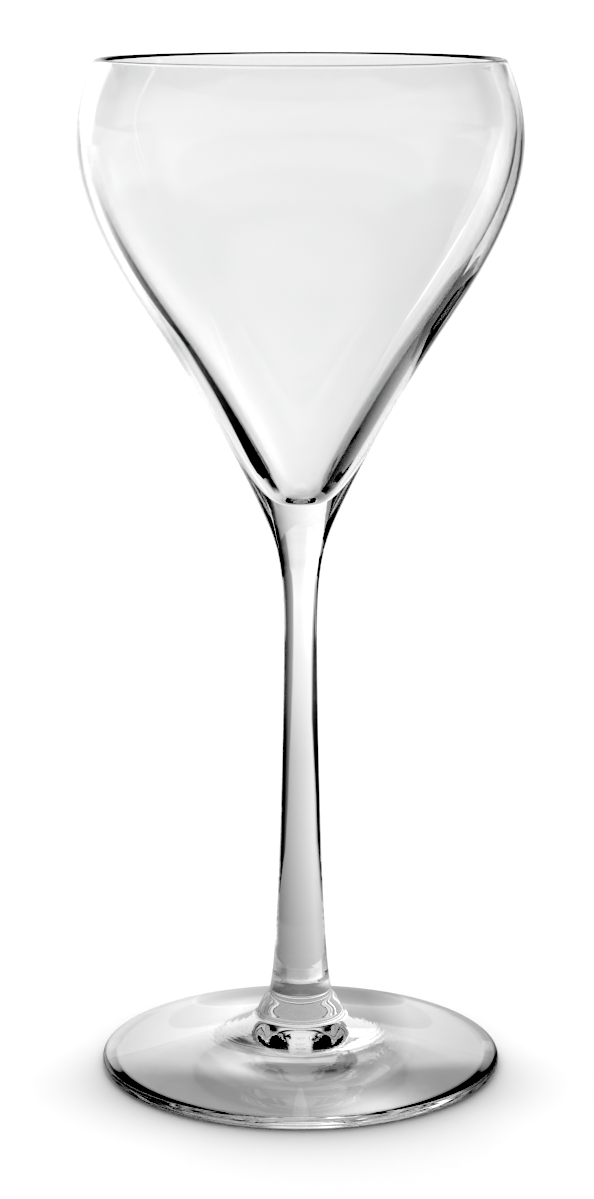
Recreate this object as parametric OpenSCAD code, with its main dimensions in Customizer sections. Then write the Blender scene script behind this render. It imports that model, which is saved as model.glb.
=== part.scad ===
// Stemmed sherry glass in clear glass: a blown bowl, a solid drawn stem and a
// pressed foot, fused end to end. Millimetres, +Z up, origin on the axis in the
// plane that the foot stands on.

/* [Overall] */
// Height from the table to the top of the lip
height = 150; // [148:0.5:165]
// Height of the weld between foot and stem
foot_weld_z = 12; // [10:0.5:14]
// Height of the weld between stem and bowl
bowl_weld_z = 82.5; // [78:0.5:84]

/* [Bowl] */
// Diameter of the mouth, at the middle of the rounded lip
mouth_d = 58; // [52:0.5:62]
// Wall thickness at the lip
lip_t = 0.9; // [0.8:0.1:1.6]
// Lean of the wall at the lip, inwards from upright, degrees
lip_lean = 24.5; // [10:0.5:35]
// Widest outer diameter of the bowl
belly_d = 64.1; // [60:0.1:70]
// Depth of the widest point below the lip
belly_drop = 11.4; // [9:0.1:16]
// Wall thickness at the widest point
belly_t = 1.2; // [1:0.05:1.8]
// Outer diameter part-way down the cone
cone_d = 40.4; // [36:0.2:44]
// Depth of that point below the lip
cone_drop = 39.2; // [36:0.2:44]
// Half angle of the cone there, degrees
cone_angle = 33; // [28:0.5:38]
// Depth below the lip from which the hollow is rounded off to its bottom
thick_drop = 53; // [51:0.5:53.5]
// Wall thickness there, measured level
thick_t = 3.5; // [3:0.1:4]
// Extra wall thickness half-way between there and the widest point
wall_swell = 0.1; // [0:0.05:0.2]
// Solid glass between the hollow and the weld
base_t = 4.2; // [3.4:0.1:4.4]
// Width of the rounded bottom of the hollow
hollow_tip = 3.2; // [2.4:0.1:4]

/* [Stem] */
// Diameter at the weld under the bowl
neck_d = 9.4; // [8.4:0.1:10.4]
// Half angle of the flare at that weld, degrees
neck_angle = 22.5; // [16:0.5:28]
// Smallest diameter of the stem
waist_d = 4.9; // [4:0.1:6]
// Height of the smallest diameter
waist_z = 65; // [56:0.5:70]
// Diameter at the weld on the foot
root_d = 9; // [8:0.1:10]
// Half angle of the flare at that weld, degrees
root_angle = 10; // [6:0.5:14]

/* [Foot] */
// Diameter of the foot
foot_d = 60; // [54:0.5:66]
// Thickness of the rounded edge
edge_t = 1.7; // [1.4:0.1:2.4]
// Slope of the upper face at the edge, degrees
edge_slope = 11; // [8:0.5:13]
// Diameter of the boss where it turns into the upper face
boss_d = 12.6; // [11.6:0.1:13.4]
// Height of that turn
boss_z = 8.4; // [8:0.1:8.8]
// Half angle of the boss there, degrees
boss_angle = 24; // [18:1:30]
// Diameter where the fillet of the boss ends
fillet_d = 14.6; // [14:0.1:16]
// Height of the upper face there
fillet_z = 7.2; // [6.6:0.1:7.5]
// Slope of the upper face there, degrees
fillet_slope = 16; // [12:0.5:20]
// Width of the flat ring that it stands on
ring_w = 1.6; // [1:0.1:4]
// Depth of the hollow under the foot
kick = 3.4; // [2.4:0.1:4]
// Slope of that hollow at the ring, degrees
kick_slope = 8; // [6:0.5:10]

/* [Smoothness] */
// Straight pieces in each curve of a profile
steps = 14; // [8:1:24]
// Facets round the axis on screen
facets = 96; // [48:12:180]

/* [Hidden] */

clear_glass = [0.88, 0.91, 0.92, 0.55];

// A direction in the profile plane [radius, height], given as the angle from
// upright: positive leans outwards on the way up.
function dir(a) = [sin(a), cos(a)];

// One cubic arc from point p, leaving at angle a, to point q, arriving at angle
// b. ka and kb say how far each end stays on its own direction, as a share of
// the distance between the points.
function arc_points(p, a, ka, q, b, kb) =
    let (l = norm(q - p), p1 = p + dir(a) * l * ka, q1 = q - dir(b) * l * kb)
    [for (i = [0 : steps])
        let (t = i / steps, u = 1 - t)
        u * u * u * p + 3 * u * u * t * p1 + 3 * u * t * t * q1 + t * t * t * q];

// Points on a circle about c from angle a to angle b, angles from +radius.
function round_points(c, r, a, b, n) =
    [for (i = [0 : n]) let (w = a + (b - a) * i / n) c + r * [cos(w), sin(w)]];

// A list without its first point, to join arcs without doubled points.
function rest(list) = [for (i = [1 : len(list) - 1]) list[i]];
// A list from its last point to its first.
function back(list) = [for (i = [len(list) - 1 : -1 : 0]) list[i]];

// Stations shared by two pieces.
foot_weld = [root_d / 2, foot_weld_z];
bowl_weld = [neck_d / 2, bowl_weld_z];

// Bowl, outside: weld, cone, widest point, lip.
lip_c = [mouth_d / 2, height - lip_t / 2];
lip_n = [cos(lip_lean), sin(lip_lean)];
lip_out = lip_c + lip_n * lip_t / 2;
lip_in = lip_c - lip_n * lip_t / 2;
cone_out = [cone_d / 2, height - cone_drop];
belly_out = [belly_d / 2, height - belly_drop];
bowl_outer = concat(
    arc_points(bowl_weld, neck_angle, 0.15, cone_out, cone_angle, 0.44),
    rest(arc_points(cone_out, cone_angle, 0.28, belly_out, 0, 0.34)),
    rest(arc_points(belly_out, 0, 0.35, lip_out, -lip_lean, 0.34)));

// Bowl, inside: the wall follows the outside and grows thicker from the widest
// point downwards, and a rounded bottom closes the hollow.
belly_z = height - belly_drop;
thick_z = height - thick_drop;
function wall(z) =
    let (u = (belly_z - z) / (belly_z - thick_z))
    belly_t + (thick_t - belly_t) * u + 4 * wall_swell * u * (1 - u);
hollow_side = [for (p = bowl_outer)
    if (p[1] > thick_z && p[1] < belly_z + 0.001) p - [wall(p[1]), 0]];
hollow_low = hollow_side[0];
hollow_run = hollow_side[1] - hollow_low;
belly_in = hollow_side[len(hollow_side) - 1];
belly_lean = atan((thick_t - belly_t + 4 * wall_swell) / (belly_z - thick_z));
tip_in = [0, bowl_weld_z + base_t];
tip_share = hollow_tip / norm(hollow_low - tip_in);
bowl_inner = concat(
    arc_points(tip_in, 90, tip_share, hollow_low, atan2(hollow_run[0], hollow_run[1]), 0.87),
    rest(hollow_side),
    rest(arc_points(belly_in, belly_lean, 0.35, lip_in, -lip_lean, 0.34)));

// The lip is melted round: half a circle from the outside to the inside.
lip_round = round_points(lip_c, lip_t / 2, lip_lean, lip_lean + 180, 10);

bowl_profile = concat(
    [[0, bowl_weld_z]],
    bowl_outer,
    rest(lip_round),
    rest(back(bowl_inner)));

// Stem: weld on the foot, waist, weld under the bowl.
waist = [waist_d / 2, waist_z];
stem_profile = concat(
    [[0, foot_weld_z]],
    arc_points(foot_weld, -root_angle, 0.15, waist, 0, 0.18),
    rest(arc_points(waist, 0, 0.53, bowl_weld, neck_angle, 0.26)),
    [[0, bowl_weld_z]]);

// Foot: hollow underneath, flat ring, rounded edge, upper face, fillet, boss.
edge_r = edge_t / 2;
edge_c = [foot_d / 2 - edge_r, edge_r];
edge_top = edge_c + edge_r * [sin(edge_slope), cos(edge_slope)];
ring_in = [edge_c[0] - ring_w, 0];
fillet = [fillet_d / 2, fillet_z];
boss = [boss_d / 2, boss_z];
foot_profile = concat(
    arc_points([0, kick], 90, 0.25, ring_in, 90 + kick_slope, 0.35),
    round_points(edge_c, edge_r, -90, 90 - edge_slope, 12),
    rest(arc_points(edge_top, -90 + edge_slope, 0.35, fillet, -90 + fillet_slope, 0.35)),
    rest(arc_points(fillet, -90 + fillet_slope, 0.42, boss, -boss_angle, 0.3)),
    rest(arc_points(boss, -boss_angle, 0.62, foot_weld, -root_angle, 0.42)),
    [[0, foot_weld_z]]);

module turned(profile) {
    rotate_extrude($fn = facets) polygon(profile);
}

// Blown bowl: wide rounded shoulder under a narrower mouth, cone below it, and
// a thick solid bottom.
module bowl() {
    color(clear_glass) turned(bowl_profile);
}

// Solid stem: flared into the bowl, thinnest in its upper part, thicker again
// towards the foot.
module stem() {
    color(clear_glass) turned(stem_profile);
}

// Foot: a shallow cone with a boss in the middle, hollow underneath so that it
// stands on a narrow ring.
module foot() {
    color(clear_glass) turned(foot_profile);
}

bowl();
stem();
foot();
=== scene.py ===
import math

import bpy
import numpy as np
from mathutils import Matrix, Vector, noise


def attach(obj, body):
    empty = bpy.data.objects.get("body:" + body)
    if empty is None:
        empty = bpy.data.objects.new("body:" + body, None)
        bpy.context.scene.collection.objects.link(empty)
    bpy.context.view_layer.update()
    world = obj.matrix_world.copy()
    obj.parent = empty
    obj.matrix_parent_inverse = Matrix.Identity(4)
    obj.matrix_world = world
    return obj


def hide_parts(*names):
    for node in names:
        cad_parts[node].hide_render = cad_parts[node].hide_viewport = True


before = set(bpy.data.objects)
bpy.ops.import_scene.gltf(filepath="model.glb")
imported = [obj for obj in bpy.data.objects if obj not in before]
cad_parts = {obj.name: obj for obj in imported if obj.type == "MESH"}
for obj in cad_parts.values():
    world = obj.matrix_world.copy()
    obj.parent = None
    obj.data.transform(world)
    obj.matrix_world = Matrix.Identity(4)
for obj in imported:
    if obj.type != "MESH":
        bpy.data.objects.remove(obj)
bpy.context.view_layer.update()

MM = 0.001

# ---------------------------------------------------------------- profile
# The stations of the turned profile, in millimetres, as the construction has
# them. Angles are degrees from upright, positive leaning outwards on the way up.
HEIGHT, FOOT_WELD_Z, BOWL_WELD_Z = 150.0, 12.0, 82.5
MOUTH_D, LIP_T, LIP_LEAN = 58.0, 0.9, 24.5
BELLY_D, BELLY_DROP, BELLY_T = 64.1, 11.4, 1.2
CONE_D, CONE_DROP, CONE_ANGLE = 40.4, 39.2, 33.0
THICK_DROP, THICK_T, WALL_SWELL, BASE_T, HOLLOW_TIP = 53.0, 3.5, 0.1, 4.2, 3.2
NECK_D, NECK_ANGLE, WAIST_D, WAIST_Z, ROOT_D, ROOT_ANGLE = 9.4, 22.5, 4.9, 65.0, 9.0, 10.0
FOOT_D, EDGE_T, EDGE_SLOPE = 60.0, 1.7, 11.0
BOSS_D, BOSS_Z, BOSS_ANGLE = 12.6, 8.4, 24.0
FILLET_D, FILLET_Z, FILLET_SLOPE = 14.6, 7.2, 16.0
RING_W, KICK, KICK_SLOPE = 1.6, 3.4, 8.0


def V(*a):
    return np.array(a, float)


def direction(a):
    a = math.radians(a)
    return V(math.sin(a), math.cos(a))


def arc(p, a, ka, q, b, kb, n):
    l = np.hypot(*(q - p))
    p1, q1 = p + direction(a) * l * ka, q - direction(b) * l * kb
    t = np.linspace(0, 1, n + 1)[:, None]
    u = 1 - t
    return u**3 * p + 3 * u * u * t * p1 + 3 * u * t * t * q1 + t**3 * q


def rounded(c, r, a, b, n):
    w = np.radians(np.linspace(a, b, n + 1))
    return c + r * np.stack([np.cos(w), np.sin(w)], 1)


def joined(*lists):
    return np.concatenate([lists[0]] + [x[1:] for x in lists[1:]])


foot_weld = V(ROOT_D / 2, FOOT_WELD_Z)
bowl_weld = V(NECK_D / 2, BOWL_WELD_Z)
lip_c = V(MOUTH_D / 2, HEIGHT - LIP_T / 2)
lip_n = V(math.cos(math.radians(LIP_LEAN)), math.sin(math.radians(LIP_LEAN)))
lip_out, lip_in = lip_c + lip_n * LIP_T / 2, lip_c - lip_n * LIP_T / 2
cone_out, belly_out = V(CONE_D / 2, HEIGHT - CONE_DROP), V(BELLY_D / 2, HEIGHT - BELLY_DROP)
tip_in = V(0, BOWL_WELD_Z + BASE_T)
waist = V(WAIST_D / 2, WAIST_Z)
edge_r = EDGE_T / 2
edge_c = V(FOOT_D / 2 - edge_r, edge_r)
edge_top = edge_c + edge_r * V(math.sin(math.radians(EDGE_SLOPE)), math.cos(math.radians(EDGE_SLOPE)))
fillet, boss = V(FILLET_D / 2, FILLET_Z), V(BOSS_D / 2, BOSS_Z)


def wall(z):
    """Thickness of the bowl's wall, measured level."""
    u = (HEIGHT - BELLY_DROP - z) / (THICK_DROP - BELLY_DROP)
    return BELLY_T + (THICK_T - BELLY_T) * u + 4 * WALL_SWELL * u * (1 - u)


def bowl_profile():
    outer = joined(
        arc(bowl_weld, NECK_ANGLE, 0.15, cone_out, CONE_ANGLE, 0.44, 56),
        arc(cone_out, CONE_ANGLE, 0.28, belly_out, 0, 0.34, 44),
        arc(belly_out, 0, 0.35, lip_out, -LIP_LEAN, 0.34, 24),
    )
    side = np.array([[r - wall(z), z] for r, z in outer if HEIGHT - THICK_DROP < z < HEIGHT - BELLY_DROP + 0.001])
    run = side[1] - side[0]
    lean = math.degrees(math.atan((THICK_T - BELLY_T + 4 * WALL_SWELL) / (THICK_DROP - BELLY_DROP)))
    inner = joined(
        arc(tip_in, 90, HOLLOW_TIP / np.hypot(*(side[0] - tip_in)), side[0], math.degrees(math.atan2(*run)), 0.87, 60),
        side,
        arc(side[-1], lean, 0.35, lip_in, -LIP_LEAN, 0.34, 24),
    )
    lip = rounded(lip_c, LIP_T / 2, LIP_LEAN, LIP_LEAN + 180, 20)
    return joined(V([0, BOWL_WELD_Z], bowl_weld), outer, lip, inner[::-1])


def stem_profile():
    side = joined(
        arc(foot_weld, -ROOT_ANGLE, 0.15, waist, 0, 0.18, 90),
        arc(waist, 0, 0.53, bowl_weld, NECK_ANGLE, 0.26, 60),
    )
    return joined(V([0, FOOT_WELD_Z], foot_weld), side, V(bowl_weld, [0, BOWL_WELD_Z]))


def foot_profile():
    ring_in, ring_out = V(edge_c[0] - RING_W, 0), V(edge_c[0], 0)
    under = arc(V(0, KICK), 90, 0.25, ring_in, 90 + KICK_SLOPE, 0.35, 60)
    ring = np.stack([np.linspace(ring_in[0], ring_out[0], 13), np.zeros(13)], 1)
    edge = rounded(edge_c, edge_r, -90, 90 - EDGE_SLOPE, 30)
    top = arc(edge_top, -90 + EDGE_SLOPE, 0.35, fillet, -90 + FILLET_SLOPE, 0.35, 70)
    fil = arc(fillet, -90 + FILLET_SLOPE, 0.42, boss, -BOSS_ANGLE, 0.3, 40)
    side = arc(boss, -BOSS_ANGLE, 0.62, foot_weld, -ROOT_ANGLE, 0.42, 40)
    return joined(under, ring, edge, top, fil, side, V(foot_weld, [0, FOOT_WELD_Z]))


# ---------------------------------------------------------------- meshes
def lathe(name, profile, around, caps, move=None):
    """A closed turned solid. profile runs from the axis round the section and
    back to the axis. caps lists the heights of the flat weld faces; they get
    the second material slot and sharp edges."""
    pts = np.asarray(profile, float)
    rings = pts[1:-1]
    ang = np.linspace(0, 2 * np.pi, around, endpoint=False)
    grid = np.stack(
        [rings[:, 0, None] * np.cos(ang), rings[:, 0, None] * np.sin(ang), np.repeat(rings[:, 1, None], around, 1)], 2
    )
    if move is not None:
        grid = move(grid, rings, ang)
    k = len(rings)
    verts = np.concatenate([grid.reshape(-1, 3), [[0, 0, pts[0, 1]], [0, 0, pts[-1, 1]]]]) * MM
    first, last = k * around, k * around + 1
    flat = lambda p, q: abs(p[1] - q[1]) < 1e-9 and any(abs(p[1] - c) < 1e-6 for c in caps)
    faces, slots = [], []
    for j in range(around):
        faces.append((first, (j + 1) % around, j))
        slots.append(1 if flat(pts[0], pts[1]) else 0)
    for i in range(k - 1):
        s = 1 if flat(rings[i], rings[i + 1]) else 0
        for j in range(around):
            j2 = (j + 1) % around
            faces.append((i * around + j, i * around + j2, (i + 1) * around + j2, (i + 1) * around + j))
            slots.append(s)
    for j in range(around):
        faces.append((last, (k - 1) * around + j, (k - 1) * around + (j + 1) % around))
        slots.append(1 if flat(pts[-1], pts[-2]) else 0)
    me = bpy.data.meshes.new(name)
    me.from_pydata(verts.tolist(), [], faces)
    me.polygons.foreach_set("material_index", slots)
    me.polygons.foreach_set("use_smooth", [True] * len(faces))
    edge_use = {}
    for f, s in zip(faces, slots):
        for a, b in zip(f, f[1:] + f[:1]):
            edge_use.setdefault((min(a, b), max(a, b)), set()).add(s)
    for e in me.edges:
        if len(edge_use[tuple(sorted(e.vertices))]) > 1:
            e.use_edge_sharp = True
    me.update()
    ob = bpy.data.objects.new(name, me)
    bpy.context.scene.collection.objects.link(ob)
    return ob


def seam_normals(ob, seams):
    """At a weld the two pieces share one surface direction, so light passes the
    weld without a kink. seams: (height, radius, angle of the surface)."""
    me = ob.data
    n = np.zeros(len(me.loops) * 3, np.float32)
    me.corner_normals.foreach_get("vector", n)
    n = n.reshape(-1, 3)
    for poly in me.polygons:
        if poly.material_index:
            continue
        for li in poly.loop_indices:
            co = me.vertices[me.loops[li].vertex_index].co
            for z, r, a in seams:
                if abs(co.z - z * MM) < 1e-8 and abs(math.hypot(co.x, co.y) - r * MM) < 1e-7:
                    h = Vector((co.x, co.y, 0)).normalized()
                    a = math.radians(a)
                    v = h * math.cos(a) - Vector((0, 0, 1)) * math.sin(a)
                    n[li] = v
    me.normals_split_custom_set(n.tolist())


# ---------------------------------------------------------------- node sums
class Tone:
    """A number worked out by shader nodes, to write levels as plain sums."""

    def __init__(self, nt, socket):
        self.nt, self.socket = nt, socket

    def op(self, name, other=None, third=None, clamp=False):
        n = self.nt.nodes.new("ShaderNodeMath")
        n.operation, n.use_clamp = name, clamp
        self.nt.links.new(self.socket, n.inputs[0])
        for i, x in ((1, other), (2, third)):
            if isinstance(x, Tone):
                self.nt.links.new(x.socket, n.inputs[i])
            elif x is not None:
                n.inputs[i].default_value = x
        return Tone(self.nt, n.outputs[0])

    def __add__(self, o):
        return self.op("ADD", o)

    def __sub__(self, o):
        return self.op("SUBTRACT", o)

    def __mul__(self, o):
        return self.op("MULTIPLY", o)

    __radd__, __rmul__ = __add__, __mul__

    def __rsub__(self, o):
        return self.op("MULTIPLY", -1.0).op("ADD", o)

    def step(self, lo, hi, at_lo=0.0, at_hi=1.0, kind="SMOOTHSTEP"):
        """at_lo up to lo, at_hi from hi, and a soft change between them."""
        n = self.nt.nodes.new("ShaderNodeMapRange")
        n.interpolation_type = kind
        self.nt.links.new(self.socket, n.inputs["Value"])
        for k, x in (("From Min", lo), ("From Max", hi), ("To Min", at_lo), ("To Max", at_hi)):
            n.inputs[k].default_value = x
        return Tone(self.nt, n.outputs[0])

    def curve(self, *stops):
        """Straight pieces through (value, level) pairs."""
        total = None
        for (v0, l0), (v1, l1) in zip(stops, stops[1:]):
            if abs(l1 - l0) > 1e-9:
                part = self.step(v0, v1, 0.0, l1 - l0, "LINEAR")
                total = part if total is None else total + part
        return total + stops[0][1]


def position(nt):
    geo = nt.nodes.new("ShaderNodeNewGeometry")
    sep = nt.nodes.new("ShaderNodeSeparateXYZ")
    nt.links.new(geo.outputs["Position"], sep.inputs[0])
    return [Tone(nt, sep.outputs[k]) for k in ("X", "Y", "Z")]


# ---------------------------------------------------------------- materials
def weld_material():
    """The inside of a weld: the glass is one there, so nothing shows."""
    m = bpy.data.materials.new("weld_inside")
    m.use_nodes = True
    nt = m.node_tree
    nt.nodes.clear()
    out = nt.nodes.new("ShaderNodeOutputMaterial")
    tr = nt.nodes.new("ShaderNodeBsdfTransparent")
    nt.links.new(tr.outputs[0], out.inputs["Surface"])
    return m


def spread(nt, *parts):
    """A vector of three numbers, to feed a pattern."""
    n = nt.nodes.new("ShaderNodeCombineXYZ")
    for i, x in enumerate(parts):
        if isinstance(x, Tone):
            nt.links.new(x.socket, n.inputs[i])
        else:
            n.inputs[i].default_value = x
    return n.outputs[0]


def cloud(nt, vector, scale=1.0, detail=2.0):
    """Soft noise about zero, roughly -0.5 to 0.5."""
    n = nt.nodes.new("ShaderNodeTexNoise")
    n.inputs["Scale"].default_value = scale
    n.inputs["Detail"].default_value = detail
    nt.links.new(vector, n.inputs["Vector"])
    return Tone(nt, n.outputs[0]) - 0.5


def turned_place(nt):
    """Place on a turned piece: distance from the axis, height, and the two
    parts of the bearing; all lengths in millimetres."""
    tex = nt.nodes.new("ShaderNodeTexCoord")
    sep = nt.nodes.new("ShaderNodeSeparateXYZ")
    nt.links.new(tex.outputs["Object"], sep.inputs[0])
    x, y, z = [Tone(nt, sep.outputs[k]) * 1000.0 for k in ("X", "Y", "Z")]
    r = (x * x + y * y + 1e-6).op("SQRT")
    return r, z, x.op("DIVIDE", r), y.op("DIVIDE", r)


def ring_mark(z, height, width):
    """A low ridge round the piece at a height: 1 on its crest."""
    off = (z - height) * (1 / width)
    return (off * off * -1.0).op("EXPONENT")


def bowl_relief(nt):
    """Blown glass: long faint waves, and a little more unrest round the weld."""
    r, z, c, s = turned_place(nt)
    waves = cloud(nt, spread(nt, c * 2.5, s * 2.5, z * 0.09)) * 6.0
    near_weld = cloud(nt, spread(nt, c * 2.2, s * 2.2, z * 0.75)) * z.step(84, 92, 7.0, 0.0)
    return waves + near_weld


def stem_relief(nt):
    """Drawn glass: faint long streaks, ring marks above the foot and some
    unrest under the bowl."""
    r, z, c, s = turned_place(nt)
    streaks = cloud(nt, spread(nt, c * 1.6, s * 1.6, z * 0.03)) * 2.5
    rings = cloud(nt, spread(nt, c * 0.5, s * 0.5, z * 1.3), 1.0, 3.0) * z.step(12, 19, 1.5, 0.0)
    neck = cloud(nt, spread(nt, c * 2.2, s * 2.2, z * 0.75)) * z.step(70, 82.5, 0.0, 7.0)
    return streaks + rings + neck + ring_mark(z, 13.4, 0.25) * 10.0


def foot_relief(nt):
    """Pressed and spun glass: ripples round the boss, a faint ring further out
    and short drag marks towards the edge."""
    r, z, c, s = turned_place(nt)
    top = z.step(3.2, 4.2)
    ripples = cloud(nt, spread(nt, r * 2.2, c * 1.3, s * 1.3), 1.0, 1.0) * (r.step(8.4, 10.0) * r.step(11.5, 17.0, 1.0, 0.0) * 14.0)
    off = r - 21.6
    ring = (off * off * -2.2).op("EXPONENT") * 2.2
    drags = cloud(nt, spread(nt, r * 1.6, c * 9.0, s * 9.0), 1.0, 3.0) * (r.step(15.0, 22.0) * r.step(27.0, 28.5, 1.0, 0.0) * 3.0)
    return (ripples + ring + drags) * top


def glass_material(name, relief, dull):
    """Clear glass. relief gives the height of the surface in micrometres; dull
    is the roughness at the cloudiest spots."""
    m = bpy.data.materials.new(name)
    m.use_nodes = True
    nt = m.node_tree
    p = nt.nodes["Principled BSDF"]
    p.inputs["IOR"].default_value = 1.52
    p.inputs["Transmission Weight"].default_value = 1.0
    r, z, c, s = turned_place(nt)
    haze = cloud(nt, spread(nt, c * 3.0, s * 3.0, z * 0.2), 1.0, 4.0)
    nt.links.new(haze.step(-0.1, 0.3, 0.0, dull).socket, p.inputs["Roughness"])
    tint = nt.nodes.new("ShaderNodeMix")
    tint.data_type = "RGBA"
    ends = [x for x in tint.inputs if x.type == "RGBA"]
    ends[0].default_value, ends[1].default_value = (1.0, 1.0, 1.0, 1), (0.988, 0.992, 0.99, 1)
    nt.links.new(haze.step(-0.25, 0.25).socket, tint.inputs[0])
    nt.links.new(next(x for x in tint.outputs if x.type == "RGBA"), p.inputs["Base Color"])
    bump = nt.nodes.new("ShaderNodeBump")
    bump.inputs["Strength"].default_value = 1.0
    bump.inputs["Distance"].default_value = 1e-6
    nt.links.new(relief(nt).socket, bump.inputs["Height"])
    nt.links.new(bump.outputs[0], p.inputs["Normal"])
    return m


weld = weld_material()
around = 256
glass = {
    "bowl": glass_material("bowl_glass", bowl_relief, 0.01),
    "stem": glass_material("stem_glass", stem_relief, 0.012),
    "foot": glass_material("foot_glass", foot_relief, 0.02),
}
seam_low = (FOOT_WELD_Z, ROOT_D / 2, -ROOT_ANGLE)
seam_top = (BOWL_WELD_Z, NECK_D / 2, NECK_ANGLE)
made = {
    "bowl": (lathe("glass_bowl", bowl_profile(), around, [BOWL_WELD_Z]), [seam_top]),
    "stem": (lathe("glass_stem", stem_profile(), around, [FOOT_WELD_Z, BOWL_WELD_Z]), [seam_low, seam_top]),
    "foot": (lathe("glass_foot", foot_profile(), around, [FOOT_WELD_Z]), [seam_low]),
}
for node, (ob, seams) in made.items():
    ob.data.materials.append(glass[node])
    ob.data.materials.append(weld)
    seam_normals(ob, seams)
    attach(ob, "root")
    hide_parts(node)
    node + "_glass"

# ---------------------------------------------------------------- stage
sc = bpy.context.scene


def glowing(name, level):
    """A material that shines with the level that the function works out."""
    m = bpy.data.materials.new(name)
    m.use_nodes = True
    nt = m.node_tree
    nt.nodes.clear()
    out = nt.nodes.new("ShaderNodeOutputMaterial")
    e = nt.nodes.new("ShaderNodeEmission")
    e.inputs["Color"].default_value = (1, 1, 1, 1)
    nt.links.new(level(nt).socket, e.inputs["Strength"])
    nt.links.new(e.outputs[0], out.inputs["Surface"])
    return m


def paper():
    """Pale matt paper for the floor that is looked at, with a painted contact
    shadow in its colour: a little greyer close to the foot, most of all in front of it."""
    m = bpy.data.materials.new("floor_paper")
    m.use_nodes = True
    nt = m.node_tree
    p = nt.nodes["Principled BSDF"]
    x, y, _ = position(nt)
    # painted contact shadow: the paper's colour darkens within a few millimetres of the foot's edge, most in front
    away = ((x * x + y * y).op("SQRT") - 0.0295) * (-1 / 0.0065)
    shade = away.op("MINIMUM", 0.0).op("EXPONENT") * y.step(-0.02, 0.01, 0.48, 0.1)
    grey = (1.0 - shade) * 0.8
    nt.links.new(spread(nt, grey, grey, grey), p.inputs["Base Color"])
    p.inputs["Roughness"].default_value = 0.9
    p.inputs["Specular IOR Level"].default_value = 0.0
    return m


def degrees(x, y):
    """Bearing from +Y, to the right, in degrees."""
    return x.op("ARCTAN2", y) * (180 / math.pi)


def floor_level(nt):
    """The floor as the glass sees it, glowing, with its light and shade painted into
    the glow: a pale run behind the glass that is greyer close by and lighter on the left,
    with a clear edge on the right, a softer one on the left, little light beyond them,
    and none in front. Under the foot it has painted light at the back and painted shadow at the front."""
    x, y, _ = position(nt)
    d = (x * x + y * y).op("SQRT")
    az = degrees(x, y)
    run = d.curve(
        (0.03, 0.5), (0.053, 0.545), (0.07, 0.6), (0.1, 0.68), (0.133, 0.72), (0.164, 0.745),
        (0.198, 0.82), (0.239, 0.9), (0.298, 0.99), (0.455, 1.07), (0.7, 1.02), (1.3, 0.985), (2.2, 0.96),
    )
    tilt = az.curve((-28, 0.36), (-14, 0.18), (0, 0.0), (14, -0.17), (26, -0.3), (40, -0.4))
    run = run * (1.0 + tilt * d.curve((0.06, 1.0), (0.1, 0.9), (0.16, 0.75), (0.24, 0.4)))
    far = az.curve((-40, 0.0), (-28, 0.36), (-17, 0.4), (-14, 0.27), (-12, 0.2), (-10, 0.12), (-7, 0.02), (-4, -0.01), (0, -0.02), (6, -0.01), (14, 0.05))
    run = run * (1.0 + far * d.step(0.25, 0.38))
    edge_right = d.curve(
        (0.05, 110), (0.065, 60), (0.095, 37), (0.13, 30.5), (0.16, 28.5), (0.196, 24),
        (0.235, 20.5), (0.3, 18.5), (0.46, 17.5), (2.2, 21),
    )
    edge_left = d.curve(
        (0.045, 110), (0.053, 75), (0.07, 58), (0.1, 44), (0.13, 43), (0.16, 37),
        (0.196, 31), (0.235, 33), (0.3, 36), (0.475, 42), (2.2, 57),
    )
    blur_left = d.curve((0.05, 14), (0.1, 9), (0.13, 7), (0.16, 4), (0.2, 4), (0.235, 6), (0.3, 10), (0.475, 16))
    right = (az - edge_right).step(-2, 2)
    left = (-1.0 * az - edge_left).op("DIVIDE", blur_left).step(-1, 1)
    beyond_right = az.curve(
        (20, 0.44), (24, 0.37), (28, 0.3), (34, 0.23), (37, 0.19), (43, 0.13), (48, 0.1), (57, 0.07), (70, 0.04), (90, 0.02)
    )
    beyond_left = az.curve((-80, 0.02), (-60, 0.05), (-48, 0.09), (-40, 0.12))
    level = run * (1.0 - right) * (1.0 - left) + beyond_right * right + beyond_left * left
    level = level * y.step(-0.05, -0.028, 0.04, 1.0)
    # Under the foot: painted light at the back, painted shade next to the axis, and painted shadow at the front with a
    # painted spot of light in it.
    side = x.step(-0.004, 0.004)
    back = x.curve(
        (-0.026, 0.55), (-0.02, 0.7), (-0.014, 0.85), (-0.008, 1.1), (-0.002, 0.85), (0.002, 0.7),
        (0.006, 0.42), (0.01, 0.35), (0.016, 0.7), (0.021, 0.64), (0.026, 0.55),
    )
    rear = y.step(0.015, 0.022)
    back = back * (1.0 - rear) + x.curve((-0.02, 0.85), (-0.01, 0.64), (0, 0.37), (0.01, 0.29), (0.02, 0.8)) * rear
    back = back * d.step(0.005, 0.01, 0.35, 1.0)
    spot_x, spot_y = x - 0.010, y + 0.023
    painted_light_spot = ((spot_x * spot_x + spot_y * spot_y) * (-1 / 0.007**2)).op("EXPONENT")
    front = x.curve((-0.026, 0.37), (-0.011, 0.43), (0, 0.42), (0.012, 0.48), (0.018, 0.38), (0.025, 0.26)) + painted_light_spot * 0.5
    turn = y.step(-0.009, -0.003) * side + y.step(-0.012, -0.002) * (1.0 - side)
    under = front * (1.0 - turn) + back * turn
    outside = d.step(0.0275, 0.0288)
    return level * outside + under * (1.0 - outside)


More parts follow.
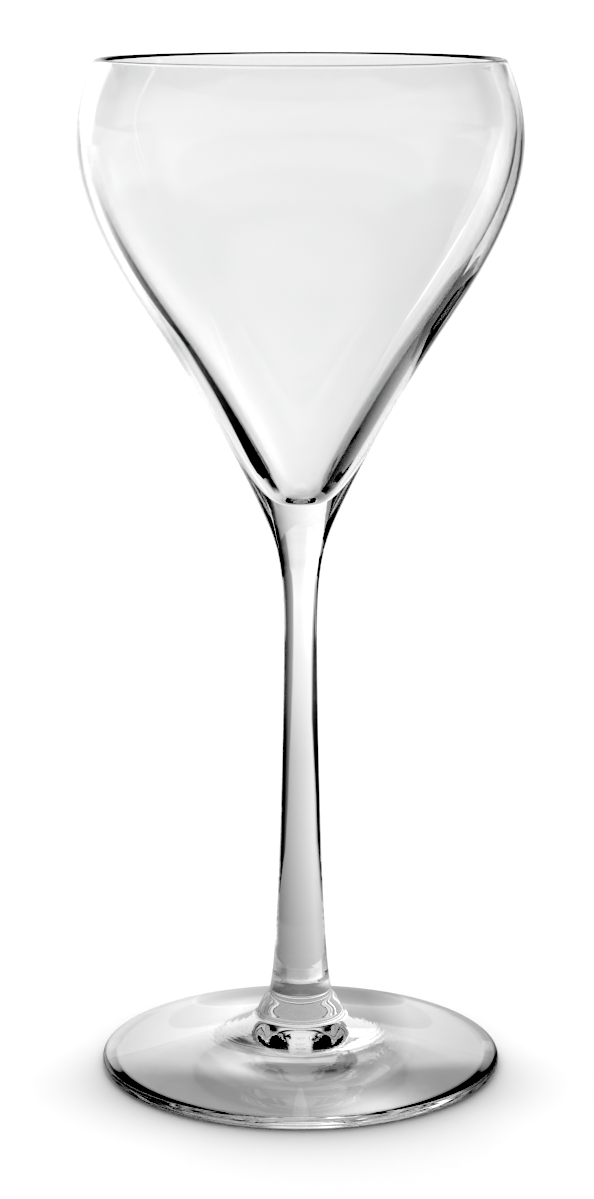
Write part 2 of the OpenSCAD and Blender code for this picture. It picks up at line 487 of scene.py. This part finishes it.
def wall_level(nt):
    """The backdrop: bright in the middle, greyer and then dark to the right, and
    soft light that fades out far to the left and towards the floor there."""
    x, y, z = position(nt)
    az = degrees(x, y)
    level = az.curve(
        (-84, 0.0), (-76, 0.06), (-64, 0.18), (-55, 0.33), (-48.5, 0.52), (-45.5, 1.35), (-30, 1.6), (-17, 1.6), (-13, 1.25),
        (-10, 1.09), (-7, 0.985), (0, 0.942), (6, 0.94), (12, 0.91), (19, 0.79), (22.5, 0.66), (23.5, 0.37), (28, 0.28), (37, 0.15),
        (46, 0.08), (55, 0.04),
    )
    far_left = az.step(-48, -46, 1.0, 0.0)
    return level * (1.0 - far_left * z.step(0.0, 0.3, 1.0, 0.0))


def high_level(nt):
    x, y, _ = position(nt)
    return degrees(x, y).curve((-47, 0.0), (-45, 0.45), (20, 0.4), (40, 0.1), (50, 0.0))


def fade_level(nt):
    x, y, z = position(nt)
    return degrees(x, y).curve((-47, 0.0), (-45, 1.1), (0, 1.0), (20, 0.8), (40, 0.2), (50, 0.0)) * z.step(0.7, 1.55, 1.0, 0.0)


def side_level(nt):
    x, _, z = position(nt)
    level = x.curve((0.022, 1.1), (0.03, 1.12), (0.034, 1.12), (0.0365, 1.12), (0.0395, 1.28), (0.045, 1.25), (0.048, 1.05), (0.058, 0.95))
    return level * z.curve((0.112, 1.0), (0.122, 1.06), (0.128, 1.06), (0.135, 1.0))


def line_level(nt):
    return position(nt)[2].curve((0.104, 1.2), (0.11, 1.38), (0.118, 1.38), (0.12, 1.2))


def ceiling_level(nt):
    x, y, _ = position(nt)
    return (x * x + y * y).op("SQRT").step(0.75, 1.0, 0.85, 0.0)


def card_level(nt):
    x, _, _ = position(nt)
    return x.curve(
        (-0.196, 0.0), (-0.19, 1.2), (-0.148, 1.2), (-0.062, 1.08), (-0.03, 1.02), (0.05, 0.74),
        (0.069, 0.63), (0.091, 0.51), (0.121, 0.4), (0.15, 0.2), (0.168, 0.05),
    )


def plane(name, size, z):
    s = size / 2
    me = bpy.data.meshes.new(name)
    me.from_pydata([(-s, -s, z), (s, -s, z), (s, s, z), (-s, s, z)], [], [(0, 1, 2, 3)])
    ob = bpy.data.objects.new(name, me)
    sc.collection.objects.link(ob)
    return ob


def upright(name, x0, x1, y, z0, z1):
    me = bpy.data.meshes.new(name)
    me.from_pydata([(x0, y, z0), (x1, y, z0), (x1, y, z1), (x0, y, z1)], [], [(0, 1, 2, 3)])
    ob = bpy.data.objects.new(name, me)
    sc.collection.objects.link(ob)
    return ob


def flag(name, y, outline, cover=None, level=None, turn=0.0):
    """A small card behind or beside the glass, given by its outline (x, z) in
    millimetres: black, or shining with the level that the function works out.
    cover works out how far it hides what is behind it. turn moves it back as x
    grows, from x = 36."""
    me = bpy.data.meshes.new(name)
    me.from_pydata([(x * MM, (y + turn * (x - 36)) * MM, z * MM) for x, z in outline], [], [tuple(range(len(outline)))])
    ob = bpy.data.objects.new(name, me)
    sc.collection.objects.link(ob)
    m = bpy.data.materials.new(name)
    m.use_nodes = True
    nt = m.node_tree
    nt.nodes.clear()
    out = nt.nodes.new("ShaderNodeOutputMaterial")
    mix = nt.nodes.new("ShaderNodeMixShader")
    mix.inputs[0].default_value = 1.0
    if cover:
        nt.links.new(cover(*position(nt)).socket, mix.inputs[0])
    clear, glow = nt.nodes.new("ShaderNodeBsdfTransparent"), nt.nodes.new("ShaderNodeEmission")
    glow.inputs["Strength"].default_value = 0.0
    if level:
        nt.links.new(level(nt).socket, glow.inputs["Strength"])
    nt.links.new(clear.outputs[0], mix.inputs[1])
    nt.links.new(glow.outputs[0], mix.inputs[2])
    nt.links.new(mix.outputs[0], out.inputs["Surface"])
    me.materials.append(m)
    seen_by(ob, glass=True)
    return ob


def curved_wall(name, radius, a0, a1, z0, z1, n=100):
    """A piece of upright wall round the axis; angles from +Y, to the right."""
    verts, faces = [], []
    for i in range(n + 1):
        a = math.radians(a0 + (a1 - a0) * i / n)
        for z in (z0, z1):
            verts.append((radius * math.sin(a), radius * math.cos(a), z))
    for i in range(n):
        faces.append((2 * i, 2 * i + 1, 2 * i + 3, 2 * i + 2))
    me = bpy.data.meshes.new(name)
    me.from_pydata(verts, [], faces)
    ob = bpy.data.objects.new(name, me)
    sc.collection.objects.link(ob)
    return ob


def floor_sector(name, a0, a1, r0, r1, z, n=66):
    """A piece of floor round the axis; angles from +Y, to the right."""
    verts = []
    for i in range(n + 1):
        a = math.radians(a0 + (a1 - a0) * i / n)
        verts += [(r * math.sin(a), r * math.cos(a), z) for r in (r0, r1)]
    me = bpy.data.meshes.new(name)
    me.from_pydata(verts, [], [(2 * i, 2 * i + 1, 2 * i + 3, 2 * i + 2) for i in range(n)])
    ob = bpy.data.objects.new(name, me)
    sc.collection.objects.link(ob)
    return ob


def room_level(nt):
    """The rest of the room, beside and behind the camera: an even grey."""
    x, y, _ = position(nt)
    return degrees(x, y).curve((-180, 0.5), (-96, 0.5), (-86, 0.0), (86, 0.0), (96, 0.5), (180, 0.5))


def room_floor():
    """The floor further out at the sides and in front: an even pale grey."""
    m = bpy.data.materials.new("room_floor")
    m.use_nodes = True
    nt = m.node_tree
    nt.nodes.clear()
    out, mix = nt.nodes.new("ShaderNodeOutputMaterial"), nt.nodes.new("ShaderNodeMixShader")
    clear, glow = nt.nodes.new("ShaderNodeBsdfTransparent"), nt.nodes.new("ShaderNodeEmission")
    glow.inputs["Strength"].default_value = 0.7
    x, y, _ = position(nt)
    d = (x * x + y * y).op("SQRT")
    az = degrees(x, y)
    start = az.curve((-180, 0.13), (-130, 0.13), (-100, 0.25), (-62, 0.28), (62, 0.28), (100, 0.25), (130, 0.13), (180, 0.13))
    share = (d - start).step(0, 0.06) * az.curve((-180, 1.0), (-62, 1.0), (-48, 0.0), (48, 0.0), (62, 1.0), (180, 1.0))
    nt.links.new(share.socket, mix.inputs[0])
    nt.links.new(clear.outputs[0], mix.inputs[1])
    nt.links.new(glow.outputs[0], mix.inputs[2])
    nt.links.new(mix.outputs[0], out.inputs["Surface"])
    return m


def seen_by(ob, camera=False, reflections=False, glass=False):
    ob.visible_camera, ob.visible_glossy, ob.visible_transmission = camera, reflections, glass
    ob.visible_diffuse = ob.visible_shadow = False


# Two sheets of one floor: the pale one that is looked at, with a painted contact shadow
# by the foot, and a glowing one with painted light and shade that the glass draws its tones from.
floor = plane("floor", 80.0, -0.00005)
floor.data.materials.append(paper())
seen_by(floor, camera=True)
floor_in_glass = plane("floor_in_glass", 5.2, -0.00006)
floor_in_glass.data.materials.append(glowing("floor_in_glass", floor_level))
seen_by(floor_in_glass, reflections=True, glass=True)

# The rest of the room, so that the glass is clear from other sides too.
room = curved_wall("room", 2.3, 85, 275, -0.01, 1.3)
room.data.materials.append(glowing("room", room_level))
seen_by(room, glass=True)
floor_round = floor_sector("floor_round", 48, 312, 0.12, 2.6, -0.00003)
floor_round.data.materials.append(room_floor())
seen_by(floor_round, glass=True)

back = curved_wall("backdrop", 2.2, -85, 55, -0.01, 0.84)
back.data.materials.append(glowing("backdrop", wall_level))
seen_by(back, reflections=True, glass=True)
high = curved_wall("backdrop_high", 2.2, -50, 55, 0.84, 1.55)
high.data.materials.append(glowing("backdrop_high", high_level))
seen_by(high, glass=True)
card = upright("card", -0.196, 0.168, 0.200, 0.147, 0.206)
card.data.materials.append(glowing("card", card_level))
seen_by(card, glass=True)
fade = curved_wall("backdrop_fade", 2.19, -50, 55, 0.84, 1.6)
fade.data.materials.append(glowing("backdrop_fade", fade_level))
seen_by(fade, reflections=True)

ceiling = plane("ceiling", 2.2, 1.0)
ceiling.data.materials.append(glowing("ceiling", ceiling_level))
seen_by(ceiling, glass=True)

# Black cards that draw the dark lines in the bowl's wall: one behind it on the
# left, a small one close to it on the right and a strip behind it on the right.
# A white one lights the upper wall on the right, with a brighter strip on its edge.
flags = [
    flag(
        "flag_left",
        20,
        [
            (-60, 126), (-45.5, 124), (-43, 118.5), (-40.5, 114.5), (-38, 110), (-35.8, 106), (-33.8, 102),
            (-32.8, 98.5), (-32, 95), (-30.8, 91.5), (-29, 88), (-27.5, 84.6),
            (-24.5, 82.3), (-18, 81), (-17.5, 79.5), (-20, 76), (-21.5, 73.5), (-26, 68.8), (-30, 63.5),
            (-35, 57), (-41, 46), (-60, 46),
        ],
        cover=lambda x, y, z: z.curve((0.084, 1.0), (0.092, 0.97), (0.1, 0.93), (0.105, 0.85), (0.11, 0.62), (0.115, 0.42), (0.12, 0.3), (0.126, 0.12)),
    ),
    flag(
        "flag_right",
        0,
        [
            (16.8, 105.2), (18.5, 106.6), (20.5, 107.5), (22.5, 108.2), (24, 110), (25.2, 111.5), (26.1, 113.2),
            (26.2, 117), (26, 119), (25.4, 118.2), (24.4, 116), (23, 113.6), (21.5, 111.6), (20, 109.8),
            (18.6, 107.8), (17.2, 105.9),
        ],
    ),
    flag(
        "flag_strip",
        20,
        [(14.3, 83), (16.3, 83.5), (19.3, 77.5), (24.8, 72.3), (29, 66), (27.6, 65), (22.8, 71.2), (17.2, 77)],
    ),
    flag(
        "card_right",
        34,
        [
            (32.5, 152), (32.5, 147.5), (34.7, 142), (35.6, 137), (34.3, 131), (33.2, 125.5), (29.9, 120), (25.5, 113.3),
            (22.9, 109.3), (22.2, 108), (27.8, 106.8), (30.5, 108), (34, 108), (36.5, 107), (42, 107), (46, 103),
            (48.5, 95), (58, 95), (58, 152),
        ],
        level=side_level,
        turn=0.36,
    ),
    flag(
        "line_right",
        33.8,
        [(29.9, 120), (25.5, 113.3), (22.9, 109.3), (20, 105), (20.5, 104.8), (23.4, 109), (26, 113), (30.4, 119.7)],
        level=line_level,
        turn=0.36,
    ),
]


def soft_sun(name, energy, angle, el, az):
    """Soft light from far off: el degrees up, az degrees from +Y to the right.
    It lights the floor only; the glass gets its tones from the sheets."""
    light = bpy.data.lights.new(name, "SUN")
    light.energy = energy
    light.angle = math.radians(angle)
    ob = bpy.data.objects.new(name, light)
    el, az = math.radians(el), math.radians(az)
    ob.rotation_euler = Vector((math.cos(el) * math.sin(az), math.cos(el) * math.cos(az), math.sin(el))).to_track_quat("Z", "Y").to_euler()
    ob.visible_glossy = ob.visible_transmission = False
    sc.collection.objects.link(ob)


soft_sun("key_light", 1.7, 50, 42, -10)

world = bpy.data.worlds.new("studio")
sc.world = world
world.use_nodes = True
bg = world.node_tree.nodes["Background"]
bg.inputs["Color"].default_value = (1, 1, 1, 1)
bg.inputs["Strength"].default_value = 1.0
world.cycles_visibility.camera = False
world.cycles_visibility.glossy = False
world.cycles_visibility.transmission = False

# ---------------------------------------------------------------- camera
cam = bpy.data.cameras.new("camera")
cam.sensor_fit = "VERTICAL"
cam.sensor_width = cam.sensor_height = 36.0
cam.lens = 36.0 * 3116.2 / 1199.0
cam.clip_end = 50
cam_ob = bpy.data.objects.new("camera", cam)
cam_ob.location = (-0.00052, -0.4503, 0.16449)
cam_ob.rotation_euler = (math.radians(90 - 11.697), 0, 0)
sc.collection.objects.link(cam_ob)
sc.camera = cam_ob

sc.view_settings.view_transform = "Standard"
sc.view_settings.look = "None"
sc.view_settings.use_curve_mapping = True
tones = sc.view_settings.curve_mapping
for low, out in ((0.1, 0.004), (0.15, 0.06), (0.25, 0.195), (0.4, 0.362), (0.6, 0.574)):
    tones.curves[3].points.new(low, out)
tones.update()
cy = sc.cycles
cy.max_bounces = 11
cy.transmission_bounces = 11
cy.glossy_bounces = 11
cy.transparent_max_bounces = 40
cy.diffuse_bounces = 3
cy.caustics_refractive = True
cy.caustics_reflective = True
cy.blur_glossy = 0.0
cy.sample_clamp_indirect = 8.0
cy.use_denoising = True
